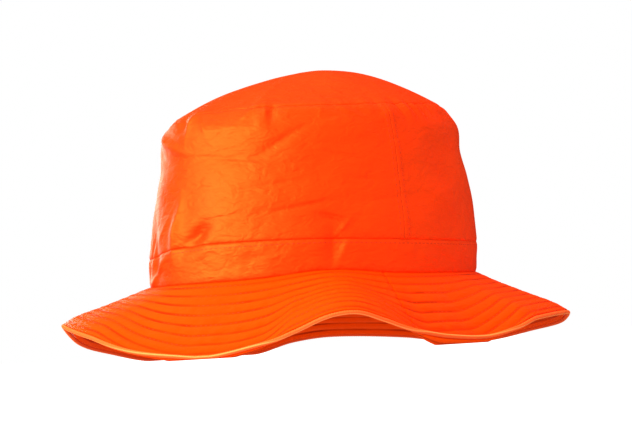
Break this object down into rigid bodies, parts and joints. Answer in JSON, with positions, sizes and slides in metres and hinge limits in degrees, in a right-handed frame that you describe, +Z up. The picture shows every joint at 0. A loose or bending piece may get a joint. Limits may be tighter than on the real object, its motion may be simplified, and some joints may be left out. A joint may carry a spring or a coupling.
{
  "type": "bucket hat",
  "caption": "Waterproof bucket hat with a domed top, a stitched band, and a wavy quilted brim with an overcast edge, standing on its brim.",
  "frame": {"origin": "on the surface that the hat stands on, midway along the reach of its brim to each side", "axes": "+Z up through the crown, -Y towards the wearer's front, +X to the side where the camera sees the side seam"},
  "size_m": [0.2574, 0.2974, 0.1669],
  "materials": {
    "crown_shell": "smooth nylon taffeta with a waterproof coating, semi-gloss",
    "band_shell": "the same coated nylon, pressed and topstitched",
    "quilted_brim": "two layers of coated nylon quilted with rows of stitching",
    "edge_thread": "overcast polyester thread, matt"
  },
  "bodies": {
    "root": {"crown_top": "crown_shell", "crown_side_front": "crown_shell", "crown_side_back": "crown_shell", "band": "band_shell", "brim_front": "quilted_brim", "brim_back": "quilted_brim", "brim_edge": "edge_thread"}
  },
  "joints": []
}
